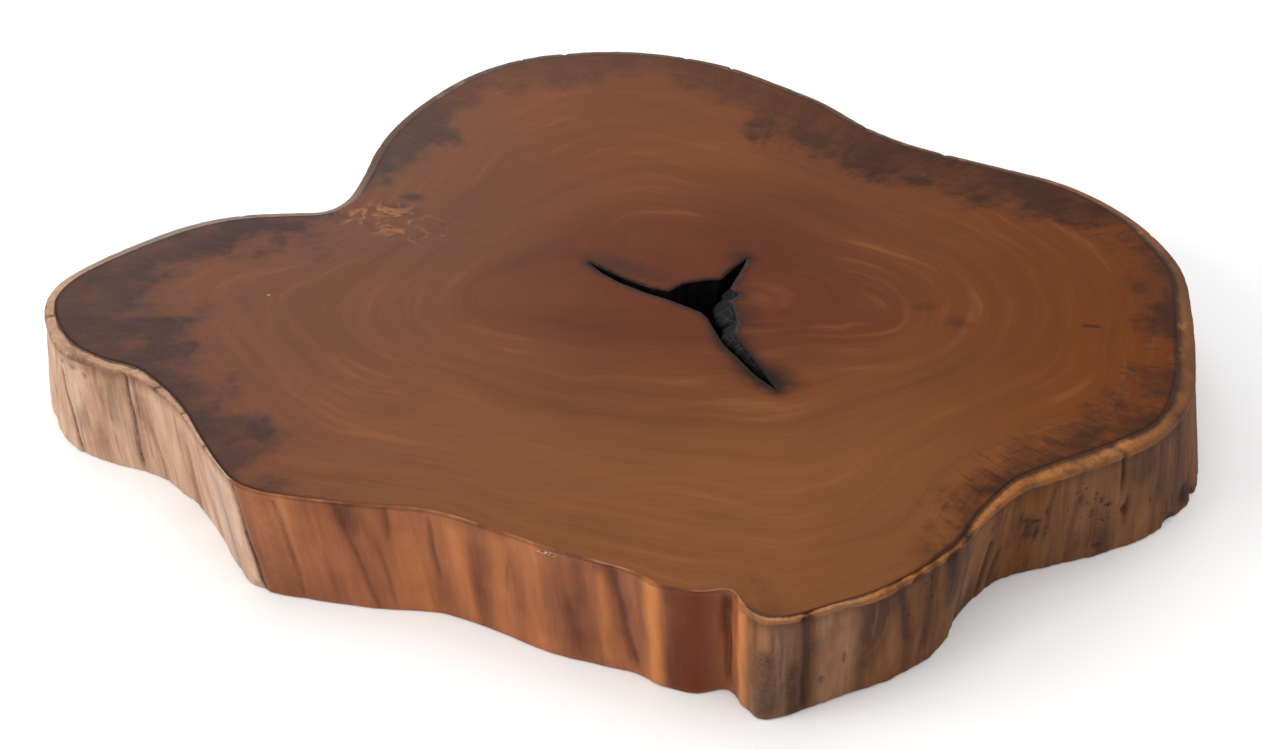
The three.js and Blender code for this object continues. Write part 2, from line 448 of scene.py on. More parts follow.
# The CAD solid's points on the outer edge of the rim, and the curve of its foot.
rim_points = points[(points[:, 2] < TOP - 0.5 * MM) & (points[:, 2] > TOP - 6.2 * MM)]
rim_points = rim_points[radius(rim_points) > 150 * MM]
foot_curve = smoothed(foot_outline)
rim_radius = by_bearing(bearing(rim_points), radius(rim_points), theta)
rim_fall = by_bearing(bearing(rim_points), TOP - rim_points[:, 2], theta)
foot_radius = by_bearing(bearing(foot_curve), radius(foot_curve), theta)
ray = (outline - PITH) / radius(outline)[:, None]
rim_loop = PITH + ray * rim_radius[:, None]
foot_loop = PITH + ray * foot_radius[:, None]
along_rim = np.roll(rim_loop, -3, 0) - np.roll(rim_loop, 3, 0)
outward = np.stack([along_rim[:, 1], -along_rim[:, 0]], 1)
outward /= np.linalg.norm(outward, axis=1)[:, None]

# Share of the grown rim, and of the eased arris of the sawn front, at each column.
rough = ease(np.linalg.norm(rim_loop - outline, axis=1), 1.6 * MM, 3.4 * MM)
smooth = 1 - rough

turned = np.degrees(np.unwrap(np.radians(theta)))
walked = np.cumsum(np.linalg.norm(rim_loop - np.roll(rim_loop, 1, 0), axis=1))
PERIMETER = walked[-1]


def length_at(degrees):
    """Arc length along the rim at a bearing."""
    return float(np.interp((degrees - turned[0]) % 360, turned - turned[0], walked))


def leaning_line(upper, lower, heights):
    """Arc lengths of a line down the wall, from its bearings at the top and at the foot."""
    share = heights / TOP
    return length_at(upper) * share + length_at(lower) * (1 - share)


def wall_values(heights, lip):
    """Depth of the marks, and the values that the materials read, for one row of the wall."""
    depth, stain, glow = mark_wall(walked, heights)
    left, right = (leaning_line(upper, lower, heights) for upper, lower in SAWN_ENDS)
    sawn = ease(walked - left, -MM, MM) * ease(right - walked, -2 * MM, 2 * MM)
    # The wall's tone: its darkness towards the right is partly weathering and partly painted shade.
    clean_and_lit = by_table(WALL_TONE, theta)
    return depth, {"stain": stain, "glow": glow, "sawn": sawn, "lip": lip, "tone": clean_and_lit}


def rim_rows():
    """Rows from the edge of the top to the rim's outer edge, with a small step at the start."""
    step = RIM_STEP * rough
    gap = rim_fall - step * rough
    profile = [
        (0.0, np.zeros(COLUMNS)),
        (0.05, 0.35 * step + 0.1 * rim_fall * smooth),
        (0.11, step + 0.22 * rim_fall * smooth),
        (0.35, step + 0.12 * gap * rough + 0.42 * rim_fall * smooth),
        (0.62, step + 0.34 * gap * rough + 0.62 * rim_fall * smooth),
        (0.86, step + 0.66 * gap * rough + 0.84 * rim_fall * smooth),
        (1.0, rim_fall),
    ]
    rows = []
    for share, fall in profile:
        flat = outline + (rim_loop - outline) * share
        heights = TOP - fall
        depth, values = wall_values(heights, share)
        bumps = grain(np.column_stack([flat, heights]), 130, 60) * rough * min(1, share * 3)
        flat = flat - outward * ((0.5 * depth - 0.5 * MM * bumps) * min(1, share * 4))[:, None]
        heights = heights - (0.8 * depth * rough + 0.45 * MM * bumps) * (share > 0)
        rows.append(slab.add_points(np.column_stack([flat, np.minimum(heights, TOP)]), **values))
    return rows


def wall_levels():
    """Heights, outward push and lip value of the rows below the rim: bead, wall and foot edge."""
    base = TOP - rim_fall
    levels = []
    for k, (down, push, lip) in enumerate(RIM_BEAD):
        fall = (1.0 + 0.3 * k) * smooth + down * rough
        levels.append((base - fall * MM, push * MM * rough, lip))
    start = levels[-1][0]
    for k in range(1, WALL_ROWS + 1):
        share = k / WALL_ROWS
        heights = start * (1 - share) + FOOT_EDGE * share
        levels.append((heights, -0.9 * MM * rough * math.exp(-k / 3), 1.4 + k))
    levels.append((np.full(COLUMNS, 0.5 * MM), -0.35 * MM, 60))
    levels.append((np.zeros(COLUMNS), -1.1 * MM, 60))
    return levels


def wall_rows():
    """Rows of the wall, with the trunk's relief and its marks."""
    rows = []
    for index, (heights, push, lip) in enumerate(wall_levels()):
        flat = foot_loop + (rim_loop - foot_loop) * (heights / (TOP - rim_fall))[:, None]
        where = np.column_stack([flat, heights])
        depth, values = wall_values(heights, lip)
        broad, middle, fine = grain(where, 17, 3, 2), grain(where, 60, 6), grain(where, 260, 9)
        relief = rough * (1.5 * broad + 0.9 * middle + 0.4 * fine)
        relief += smooth * (0.7 * broad + 0.3 * middle + 0.06 * fine)
        relief *= min(1.0, (index + 1) / 4)
        flat = flat + outward * (relief * MM - depth + push)[:, None]
        rows.append(slab.add_points(np.column_stack([flat, heights]), **values))
    return rows


def add_wall():
    """Rim and wall. Returns the top row and the bottom row."""
    rim_part, wall_part = rim_rows(), wall_rows()
    rows = rim_part + wall_part
    last_rim_row = len(rim_part) + 2
    for k, (upper, lower) in enumerate(zip(rows, rows[1:])):
        slab.add_rows(upper, lower, RIM_SLOT if k < last_rim_row else WALL_SLOT)
    return rows[0], rows[-1]


def add_check():
    """Walls of the heart check, broken into ledges. Returns its top row and its bottom row."""
    upper = from_front(wound(top_check, clockwise=True))
    lower = from_front(wound(foot_check, clockwise=True))
    count = int(np.linalg.norm(upper - np.roll(upper, 1, 0), axis=1).sum() / CHECK_STEP)
    upper, lower = evenly(upper, count), evenly(lower, count)
    side = np.roll(upper, -2, 0) - np.roll(upper, 2, 0)
    inward = np.stack([side[:, 1], -side[:, 0]], 1)
    inward /= np.linalg.norm(inward, axis=1)[:, None] + 1e-9
    tips = PITH + np.array(CHECK_TIPS) * MM
    from_tip = np.linalg.norm(upper[:, None] - tips[None], axis=2).min(1)
    room = ease(from_tip, 0, 30 * MM)
    local = (upper - PITH) / MM
    shelf = ease(local[:, 0], 6, 13) * by_table(LEDGES, local[:, 1])
    rows = []
    for down in CHECK_DEPTHS:
        share = down * MM / TOP
        flat = upper + (lower - upper) * share
        height = np.full(count, TOP * (1 - share))
        ragged = grain(np.column_stack([flat, height]), 190, 40) * min(1, down / 2) * 1.3 * room
        ledge = shelf * min(1, max(0, down - 0.5) / 5.0) * (1 - ease(down, 8, 20))
        flat = flat + inward * ((ragged + ledge) * MM)[:, None]
        where = np.column_stack([flat, height])
        # glow marks the ledges, which the check's material paints with sheen and highlights.
        rows.append(slab.add_points(where, level=1 - share, glow=np.minimum(shelf / 4, 1)))
    for above, below in zip(rows, rows[1:]):
        slab.add_rows(above, below, CHECK_SLOT)
    return rows[0], rows[-1]


def shuffled_grid(low, high, spacing):
    """Points of a slightly shuffled triangular grid over a rectangle."""
    rng = np.random.default_rng(5)
    rows = np.arange(low[1], high[1], spacing * 0.866)
    columns = np.arange(low[0], high[0], spacing)
    x, y = np.meshgrid(columns, rows)
    x = x + (np.arange(len(rows)) % 2)[:, None] * spacing / 2
    grid = np.column_stack([x.ravel(), y.ravel()])
    return grid + rng.uniform(-0.12, 0.12, grid.shape) * spacing


def inside(polygon, where):
    """Which points lie inside a closed polygon."""
    result = np.zeros(len(where), bool)
    for (x0, y0), (x1, y1) in zip(polygon, np.roll(polygon, -1, 0)):
        crosses = (y0 > where[:, 1]) != (y1 > where[:, 1])
        if y0 != y1:
            result ^= crosses & (where[:, 0] < (x1 - x0) * (where[:, 1] - y0) / (y1 - y0) + x0)
    return result


def nearest(where, loop):
    """Distance from each point to the closest point of a loop."""
    best = np.full(len(where), 1e9)
    for start in range(0, len(loop), 200):
        part = loop[start:start + 200]
        best = np.minimum(best, np.linalg.norm(where[:, None] - part[None], axis=2).min(1))
    return best


def soft_distance(where, others):
    """Distance to a set of points with the creases between its regions rounded off."""
    away = np.linalg.norm(where[:, None] - others[None], axis=2) + 1e-5
    return ((away / 0.1) ** -7.0).sum(1) ** (-1 / 7.0) * 0.1


def growth(where, loop):
    """Growth coordinate: 0 along the lobed core of the trunk, 1 at the bark."""
    ends = PITH + np.array(CORE_ENDS) * MM
    core = np.concatenate([PITH + (end - PITH) * np.linspace(0, 1, 24)[:, None] for end in ends])
    result = np.empty(len(where))
    ring_loop = loop[::6]
    for start in range(0, len(where), 2000):
        part = where[start:start + 2000]
        to_core = np.hypot(soft_distance(part, core), 35 * MM)
        to_bark = soft_distance(part, ring_loop)
        result[start:start + 2000] = to_core / (to_core + to_bark)
    return result


def face_points(outer, hole, spacing):
    """Points between the outline and the heart check, closer together near both."""
    belts = []
    for depth, every in EDGE_BELTS:
        belts.append(outer[::every] - outward[::every] * depth * MM)
    grid = shuffled_grid(outer.min(0), outer.max(0), spacing)
    grid = grid[inside(outer, grid)]
    grid = grid[(nearest(grid, outer) > 10.5 * MM) & (nearest(grid, hole) > 17 * MM)]
    fine = shuffled_grid(hole.min(0) - 20 * MM, hole.max(0) + 20 * MM, 3.2 * MM)
    near_hole = nearest(fine, hole)
    fine = fine[(near_hole < 16 * MM) & (near_hole > 1.6 * MM)]
    inner = np.concatenate(belts + [grid, fine])
    return inner[~inside(hole, inner)]


def triangulated(outer, hole, inner, reverse):
    """Triangles between two loops, over their points and the points in between."""
    rings = [np.arange(len(outer)), np.arange(len(hole)) + len(outer)]
    edges = [(int(a), int(b)) for ring in rings for a, b in zip(ring, np.roll(ring, -1))]
    flat = np.concatenate([outer, hole, inner])
    _, _, faces, origin, _, _ = delaunay_2d_cdt(
        [Vector(p) for p in flat.tolist()], edges, [], 1, 1e-7, True)
    source = np.array([ids[0] for ids in origin])
    faces = source[np.array([f for f in faces if len(f) == 3])]
    centres = flat[faces].mean(1)
    faces = faces[inside(outer, centres) & ~inside(hole, centres)]
    corners = flat[faces]
    area = np.cross(corners[:, 1] - corners[:, 0], corners[:, 2] - corners[:, 0])
    flip = (area < 0) != reverse
    faces[flip] = faces[flip][:, ::-1]
    return faces


def add_face(outer_row, check_row, height, spacing, slot, reverse):
    """Flat face between the outline and the heart check."""
    all_points = np.concatenate(slab.points)
    outer, hole = all_points[outer_row][:, :2], all_points[check_row][:, :2]
    inner = face_points(outer, hole, spacing)
    new = slab.add_points(np.column_stack([inner, np.full(len(inner), height)]))
    index = np.concatenate([outer_row, check_row, new])
    slab.add_faces(index[triangulated(outer, hole, inner, reverse)].tolist(), slot)
    flat = np.concatenate([outer, hole, inner])
    slab.set_values(
        index,
        ring=growth(flat, outer),
        edge=nearest(flat, outer),
        band=by_table(DARK_BAND, bearing(flat)) * MM,
        halo=np.exp(-nearest(flat, hole) / (6 * MM)),
    )


def build_object():
    """The slab as one mesh object with its values as attributes."""
    where = np.concatenate(slab.points)
    mesh = bpy.data.meshes.new("wood_slice_live")
    mesh.from_pydata(where.tolist(), [], slab.faces)
    mesh.polygons.foreach_set("material_index", slab.slots)
    mesh.polygons.foreach_set("use_smooth", np.ones(len(slab.faces), bool))
    for name, numbers in slab.final_values().items():
        attribute = mesh.attributes.new(name, "FLOAT", "POINT")
        attribute.data.foreach_set("value", numbers.astype(np.float32))
    mesh.update()
    piece = bpy.data.objects.new("wood_slice_live", mesh)
    bpy.context.scene.collection.objects.link(piece)
    return piece


top_row, foot_row = add_wall()
check_top, check_foot = add_check()
add_face(top_row, check_top, TOP, FACE_STEP, TOP_SLOT, False)
add_face(foot_row, check_foot, 0.0, FACE_STEP * 1.8, UNDER_SLOT, True)


# -------- materials

class Tree:
    """Short calls for building one material's nodes."""

    def __init__(self, name):
        self.material = bpy.data.materials.new(name)
        self.material.use_nodes = True
        self.nodes = self.material.node_tree.nodes
        self.links = self.material.node_tree.links
        self.shader = self.nodes["Principled BSDF"]
        self.place = self.add("ShaderNodeTexCoord").outputs["Object"]

    def add(self, kind, **settings):
        node = self.nodes.new(kind)
        for name, value in settings.items():
            setattr(node, name, value)
        return node

    def put(self, socket, value):
        if isinstance(value, bpy.types.NodeSocket):
            self.links.new(value, socket)
        elif value is not None:
            socket.default_value = value

    def feed(self, node, *values):
        """Puts values into a node's first inputs. Returns the node's outputs."""
        for socket, value in zip(node.inputs, values):
            self.put(socket, value)
        return node.outputs

    def value(self, name):
        return self.add("ShaderNodeAttribute", attribute_name=name).outputs["Fac"]

    def math(self, operation, a, b=None, c=None, clamp=False):
        node = self.add("ShaderNodeMath", operation=operation, use_clamp=clamp)
        return self.feed(node, a, b, c)[0]

    def sum(self, *terms):
        total = terms[0]
        for term in terms[1:]:
            total = self.math("ADD", total, term)
        return total

    def times(self, a, b, clamp=False):
        return self.math("MULTIPLY", a, b, clamp=clamp)

    def scaled(self, a, factor, offset=0.0):
        return self.math("MULTIPLY_ADD", a, factor, offset)

    def blend(self, *terms):
        """Sum of (value, weight) pairs."""
        return self.sum(*[self.scaled(value, weight) for value, weight in terms])

    def swing(self, noise, amount):
        """Noise of a given strength, with a mean of zero."""
        return self.scaled(noise, amount, -0.5 * amount)

    def step(self, a, low, high, start=0.0, end=1.0):
        node = self.add("ShaderNodeMapRange", interpolation_type="SMOOTHSTEP")
        return self.feed(node, a, low, high, start, end)[0]

    def vector(self, operation, a, b=None):
        node = self.add("ShaderNodeVectorMath", operation=operation)
        return self.feed(node, a, b)["Value" if operation == "LENGTH" else "Vector"]

    def combine(self, x, y, z):
        return self.feed(self.add("ShaderNodeCombineXYZ"), x, y, z)[0]

    def parts(self, vector):
        return self.feed(self.add("ShaderNodeSeparateXYZ"), vector)

    def noise(self, scale, detail=3.0, roughness=0.55, distortion=0.0, at=None):
        node = self.add("ShaderNodeTexNoise")
        self.put(node.inputs["Vector"], self.place if at is None else at)
        node.inputs["Scale"].default_value = scale
        node.inputs["Detail"].default_value = detail
        node.inputs["Roughness"].default_value = roughness
        node.inputs["Distortion"].default_value = distortion
        return node.outputs["Fac"]

    def voronoi(self, scale, feature="F1"):
        node = self.add("ShaderNodeTexVoronoi", feature=feature)
        self.put(node.inputs["Vector"], self.place)
        node.inputs["Scale"].default_value = scale
        return node

    def ramp(self, fac, stops):
        node = self.add("ShaderNodeValToRGB")
        self.put(node.inputs[0], fac)
        elements = node.color_ramp.elements
        while len(elements) < len(stops):
            elements.new(0.5)
        for element, (position, colour) in zip(elements, stops):
            element.position = position
            element.color = tone(colour)
        return node.outputs[0]

    def mix(self, fac, a, b, blend="MIX"):
        node = self.add("ShaderNodeMix", data_type="RGBA", blend_type=blend)
        self.put(node.inputs[0], fac)
        self.put(node.inputs[6], tone(a))
        self.put(node.inputs[7], tone(b))
        return node.outputs[2]

    def paint(self, colour, mask, strength, other):
        """Colour changed to another one where a mask says so."""
        return self.mix(self.scaled(mask, strength), colour, other)

    def shade(self, colour, amount, *noises):
        """Colour made lighter or darker by a factor, and by (noise, strength) pairs."""
        for noise, strength in noises:
            amount = self.sum(amount, self.swing(noise, strength))
        grey = self.combine(amount, amount, amount)
        return self.mix(1.0, colour, grey, "MULTIPLY")

    def spot(self, x, y, half_x, half_y, turn=0.0, soft=0.5, z=80, half_z=1000):
        """Mask of an elliptic patch, given in mm from the pith and above the underside."""
        node = self.add("ShaderNodeMapping", vector_type="TEXTURE")
        self.put(node.inputs["Vector"], self.place)
        node.inputs["Location"].default_value = (PITH[0] + x * MM, PITH[1] + y * MM, z * MM)
        node.inputs["Rotation"].default_value = (0, 0, math.radians(turn))
        node.inputs["Scale"].default_value = (half_x * MM, half_y * MM, half_z * MM)
        away = self.vector("LENGTH", node.outputs[0])
        ragged = self.scaled(self.noise(160, 2), 0.9, -0.45)
        return self.step(self.sum(away, ragged), 1 + soft, 1 - soft)

    def finish(self, colour, roughness, height, distance, specular):
        self.put(self.shader.inputs["Base Color"], colour)
        self.put(self.shader.inputs["Roughness"], roughness)
        self.shader.inputs["Specular IOR Level"].default_value = specular
        bump = self.add("ShaderNodeBump")
        bump.inputs["Strength"].default_value = 1.0
        bump.inputs["Distance"].default_value = distance
        self.put(bump.inputs["Height"], height)
        self.put(self.shader.inputs["Normal"], bump.outputs[0])
        return self.material


def tone(colour):
    """Display colour of 0 to 255 turned into the linear colour of a socket."""
    if isinstance(colour, bpy.types.NodeSocket):
        return colour
    linear = [(c / 255 / 12.92) if c < 10.3 else ((c / 255 + 0.055) / 1.055) ** 2.4 for c in colour]
    return (*linear, 1.0)


def growth_rings(tree):
    """Noises drawn out along the growth rings: broad, arcs and lines."""
    warp = tree.sum(
        tree.value("ring"),
        tree.swing(tree.noise(6, 2), 0.16),
        tree.swing(tree.noise(30, 2), 0.024),
    )
    x, y, _ = tree.parts(tree.place)

    def along_rings(across, along, detail):
        where = tree.combine(tree.scaled(warp, across), tree.scaled(x, along), tree.scaled(y, along))
        return tree.noise(1, detail, at=where)

    return along_rings(8, 3, 2), along_rings(30, 8, 3), along_rings(120, 14, 2)


def from_pith(tree):
    """Vector from the pith, flattened into the face."""
    centred = tree.vector("SUBTRACT", tree.place, (PITH[0], PITH[1], 0))
    return tree.vector("MULTIPLY", centred, (1, 1, 0))


def outward_streaks(tree, count, stretch, detail=4.0):
    """Noise drawn out along the lines from the pith to the bark."""
    flat = from_pith(tree)
    around = tree.vector("SCALE", tree.vector("NORMALIZE", flat))
    around.node.inputs["Scale"].default_value = count
    away = tree.scaled(tree.vector("LENGTH", flat), stretch)
    where = tree.vector("ADD", around, tree.combine(0.0, 0.0, away))
    return tree.noise(1, detail, 0.6, at=where)


def heartwood(tree, broad, arcs, lines, blotches):
    """Reddish brown of the polished top: darker at the heart, lighter towards the edges."""
    x, y, _ = tree.parts(tree.place)
    away = tree.vector("LENGTH", from_pith(tree))
    drift = tree.swing(broad, 0.16)
    outward = tree.step(tree.sum(away, drift), 0.02, 0.21)
    colour = tree.mix(outward, (90, 40, 17), (100, 54, 23))
    frontward = tree.step(tree.sum(tree.scaled(y, -1), drift), 0.04, 0.27)
    colour = tree.mix(frontward, colour, (115, 68, 34))
    rightward = tree.step(tree.sum(x, drift), 0.14, 0.36)
    colour = tree.mix(rightward, colour, (99, 47, 1))
    backward = tree.step(tree.sum(y, drift), 0.02, 0.2)
    colour = tree.paint(colour, backward, 0.65, (113, 60, 24))
    leftward = tree.step(tree.sum(tree.scaled(x, -1), drift), 0.06, 0.28)
    colour = tree.paint(colour, leftward, 0.8, (99, 54, 31))
    colour = tree.shade(colour, 1.0, (arcs, 0.42), (lines, 0.26), (blotches, 0.45), (broad, 0.3))
    wisps = tree.times(tree.step(arcs, 0.57, 0.7), tree.step(blotches, 0.44, 0.62))
    return tree.paint(colour, wisps, 0.34, (134, 82, 44))


def dark_band(tree, arcs):
    """Mask of the dark band under the bark, with feathered streaks along its inner side."""
    band, edge = tree.value("band"), tree.value("edge")
    coarse = outward_streaks(tree, 13, 9, 3)
    middle = outward_streaks(tree, 42, 26, 4)
    fine = outward_streaks(tree, 120, 60, 2)
    mottle = tree.noise(34, 4, 0.6)
    stretch = tree.sum(1.0, tree.swing(coarse, 0.7), tree.swing(middle, 0.22))
    ragged = tree.sum(tree.swing(mottle, 0.085), tree.swing(fine, 0.012), tree.swing(arcs, 0.03))
    reach = tree.sum(tree.times(band, stretch), ragged)
    inner = tree.step(tree.math("SUBTRACT", reach, edge), -0.018, 0.018)
    present = tree.step(band, 0.0015, 0.007)
    depth = tree.sum(0.86, tree.swing(mottle, 1.5), tree.swing(middle, 0.7), tree.swing(arcs, 0.5))
    mask = tree.times(tree.times(inner, present), depth, clamp=True)
    return mask, fine


def top_marks(tree, colour, fine):
    """Single marks of the top: knots, smudges, burl curls and dark lines by the rim."""
    edge = tree.value("edge")
    x = tree.parts(tree.place)[0]
    short = outward_streaks(tree, 70, 40, 4)
    smudges = tree.step(tree.blend((short, 0.6), (fine, 0.4)), 0.54, 0.63)
    near_edge = tree.times(tree.step(edge, 0.050, 0.018), tree.step(x, 0.12, 0.24))
    smudges = tree.times(tree.times(smudges, near_edge), 0.55)
    colour = tree.mix(smudges, colour, (58, 30, 14))
    for *patch, strength, paint in TOP_SPOTS:
        colour = tree.paint(colour, tree.spot(*patch), strength, paint)
    curls = tree.noise(60, 3, 0.6, 1.4)
    burl = tree.times(tree.step(curls, 0.52, 0.66), tree.spot(-222, 98, 40, 17, -24, 0.8))
    return tree.paint(colour, burl, 0.62, (172, 112, 62))


def polished_top():
    tree = Tree("polished_top")
    broad, arcs, lines = growth_rings(tree)
    blotches = tree.noise(10, 4, 0.5)
    colour = heartwood(tree, broad, arcs, lines, blotches)
    dark, fine = dark_band(tree, arcs)
    sap = tree.mix(tree.step(tree.parts(tree.place)[0], -0.05, 0.2), (60, 39, 34), (56, 27, 13))
    sap = tree.shade(sap, 1.0, (fine, 0.7), (arcs, 0.7))
    strength = tree.step(tree.parts(tree.place)[1], 0.3, 0.12, 0.55, 0.95)
    colour = tree.mix(tree.times(dark, strength), colour, sap)
    colour = top_marks(tree, colour, fine)
    edge, band = tree.value("edge"), tree.value("band")
    rim_line = tree.times(tree.step(edge, 0.003, 0.0003), tree.step(band, 0.002, 0.007))
    colour = tree.paint(colour, rim_line, 0.7, (34, 20, 14))
    halo = tree.value("halo")
    burnt = tree.step(tree.sum(halo, tree.swing(blotches, 1.6)), 0.2, 1.0)
    colour = tree.paint(colour, burnt, 0.85, (17, 12, 12))
    roughness = tree.sum(0.38, tree.swing(blotches, 0.2), tree.scaled(dark, 0.08))
    height = tree.blend((lines, 0.5), (arcs, 0.4), (fine, 0.3))
    return tree.finish(colour, roughness, height, 0.0002, 0.1)


def fibres(tree, across, along, lean=0.1, detail=4.0):
    """Noise drawn out along the trunk, for the walls."""
    x, y, z = tree.parts(tree.place)
    x = tree.sum(x, tree.scaled(z, lean))
    where = tree.combine(tree.scaled(x, across), tree.scaled(y, across), tree.scaled(z, along))
    return tree.noise(1, detail, 0.6, at=where)


def stained(tree, colour, fibre, strength, paint):
    """The wall's dark marks, broken up along the fibres and into scribbles."""
    scribble = tree.noise(240, 2, 0.6, 0.8)
    broken = tree.sum(0.88, tree.swing(fibre, 1.8), tree.swing(scribble, 1.0))
    mask = tree.times(tree.value("stain"), broken, clamp=True)
    return tree.paint(colour, mask, strength, paint)


def sawn_look(tree):
    """Colour, roughness and height of the smooth reddish front."""
    broad = fibres(tree, 15, 4, 0.1, 2)
    middle = fibres(tree, 60, 9, 0.12, 4)
    fine = fibres(tree, 330, 14, 0.12, 3)
    patches = tree.noise(18, 3)
    mixed = tree.blend((broad, 0.42), (middle, 0.26), (patches, 0.32))
    colour = tree.ramp(mixed, FRONT_STOPS)
    colour = tree.shade(colour, 0.98, (fine, 0.42), (middle, 0.5))
    glow = tree.value("glow")
    pale = tree.times(glow, tree.sum(0.9, tree.swing(middle, 1.6)), clamp=True)
    colour = tree.paint(colour, pale, 0.75, (198, 124, 66))
    colour = tree.paint(colour, glow, -0.85, (100, 38, 13))
    colour = stained(tree, colour, middle, 0.8, (62, 30, 24))
    flakes = tree.step(tree.noise(700, 1), 0.5, 0.6)
    chip = tree.times(tree.spot(-96, -252, 7, 7, 0, 0.5, 75, 1.3), flakes)
    colour = tree.paint(colour, chip, 0.7, (206, 178, 150))
    height = tree.blend((middle, 0.5), (fine, 0.4))
    return colour, tree.sum(0.42, tree.swing(middle, 0.2)), height


def bark_look(tree):
    """Colour, roughness and height of the debarked, weathered wall."""
    broad = fibres(tree, 22, 5, 0.08, 3)
    middle = fibres(tree, 80, 11, 0.08, 4)
    fine = fibres(tree, 400, 22, 0.08, 4)
    patches = tree.noise(26, 4, 0.6)
    mixed = tree.blend((broad, 0.4), (middle, 0.3), (patches, 0.3))
    # Pale to dark by the wall's tone, whose darkness on the right is partly painted shade.
    cleanness_and_light = tree.value("tone")
    worn_and_shaded = tree.math("SUBTRACT", 1.0, cleanness_and_light, clamp=True)
    colour = tree.mix(cleanness_and_light, tree.ramp(mixed, WEATHERED_SHADED_STOPS), tree.ramp(mixed, PALE_STOPS))
    colour = tree.shade(colour, 0.97, (fine, 0.6), (middle, 0.4))
    veins = tree.step(fibres(tree, 170, 7, 0.08, 3), 0.57, 0.66)
    colour = tree.paint(colour, veins, 0.36, (124, 84, 62))
    grimy = tree.step(tree.blend((broad, 0.5), (patches, 0.5)), 0.5, 0.6)
    grimy = tree.times(tree.times(grimy, worn_and_shaded), 0.42)
    colour = tree.mix(grimy, colour, (42, 26, 18))
    glow = tree.value("glow")
    colour = tree.paint(colour, glow, 0.55, (150, 92, 44))
    colour = tree.paint(colour, glow, -0.7, (152, 136, 132))
    paint = tree.mix(cleanness_and_light, (38, 20, 17), (50, 26, 23))
    colour = stained(tree, colour, middle, 0.92, paint)
    # Worm holes: painted shade inside pits too small for the mesh, with a dent in the bump.
    hole = tree.step(tree.voronoi(230).outputs["Distance"], 0.2, 0.08)
    hole = tree.times(hole, tree.step(patches, 0.52, 0.62))
    hole = tree.times(hole, tree.sum(worn_and_shaded, 0.12), clamp=True)
    colour = tree.paint(colour, hole, 0.8, (28, 17, 13))
    height = tree.sum(tree.scaled(middle, 0.7), tree.scaled(fine, 0.8), tree.scaled(hole, -1.2))
    return colour, tree.sum(0.66, tree.swing(middle, 0.3)), height


def wall():
    tree = Tree("wall")
    sawn = tree.value("sawn")
    front, front_rough, front_height = sawn_look(tree)
    bark, bark_rough, bark_height = bark_look(tree)
    grown = tree.math("SUBTRACT", 1.0, sawn)
    colour = tree.mix(sawn, bark, front)
    # Painted shade on the top of the grown wall, just under the rim's bead.
    shade_under_rim = tree.times(tree.step(tree.value("lip"), 4.4, 1.4), grown)
    colour = tree.paint(colour, shade_under_rim, 0.35, (60, 38, 26))
    roughness = tree.sum(tree.times(front_rough, sawn), tree.times(bark_rough, grown))
    height = tree.times(tree.scaled(front_height, 0.3), sawn)
    height = tree.sum(height, tree.times(bark_height, grown))
    return tree.finish(colour, roughness, height, 0.0009, 0.13)


def rim():
    tree = Tree("rim")
    lip, sawn, clean_and_lit = tree.value("lip"), tree.value("sawn"), tree.value("tone")
    coarse = tree.noise(55, 4, 0.65)
    patches = tree.noise(22, 3, 0.6)
    fine = tree.noise(480, 3, 0.65)
    streaks = outward_streaks(tree, 130, 8)
    # The rim's colour follows the wall's tone, which is partly painted shade towards the right.
    colour = tree.mix(clean_and_lit, (158, 97, 43), (172, 137, 112))
    colour = tree.shade(colour, 1.0, (fine, 0.9), (streaks, 0.5), (coarse, 0.7))
    x, y, _ = tree.parts(tree.place)
    narrow = tree.step(x, 0.0, 0.15, 0.86, 0.55)
    lower = tree.step(tree.sum(lip, tree.swing(coarse, 0.9)), narrow, 1.1)
    colour = tree.paint(colour, lower, 0.6, (112, 66, 30))
    grimy = tree.step(tree.blend((patches, 0.6), (coarse, 0.4)), 0.5, 0.62)
    colour = tree.paint(colour, grimy, 0.55, (66, 44, 32))
    dusty = tree.times(tree.step(y, -0.03, 0.02), tree.step(x, 0.0, -0.1))
    colour = tree.paint(colour, dusty, 0.8, (124, 110, 102))
    aged = tree.math("MAXIMUM", tree.step(y, 0.05, 0.15), tree.scaled(tree.step(x, 0.25, 0.36), 0.7))
    bare = tree.step(coarse, 0.56, 0.66, 0.85, 0.3)
    colour = tree.mix(tree.times(aged, bare), colour, (80, 50, 36))
    wide = tree.step(x, 0.0, 0.15, 0.24, 0.5)
    inner = tree.step(tree.sum(lip, tree.swing(coarse, 0.8)), wide, 0.04)
    colour = tree.paint(colour, inner, 0.8, (40, 25, 18))
    colour = stained(tree, colour, coarse, 0.9, (34, 21, 18))
    front, _, _ = sawn_look(tree)
    # The sawn front on the eased arris: darkened as painted shade against the light the slope
    # catches, with painted highlights along it in patches.
    arris_highlight = tree.times(tree.step(lip, 1.05, 0.7), tree.step(patches, 0.46, 0.6))
    front = tree.paint(tree.shade(front, 0.72), arris_highlight, 0.5, (176, 120, 92))
    colour = tree.mix(sawn, colour, front)
    texture = tree.sum(coarse, tree.scaled(fine, 0.6))
    height = tree.times(texture, tree.math("SUBTRACT", 1.1, sawn))
    return tree.finish(colour, tree.scaled(coarse, 0.2, 0.52), height, 0.0008, 0.16)


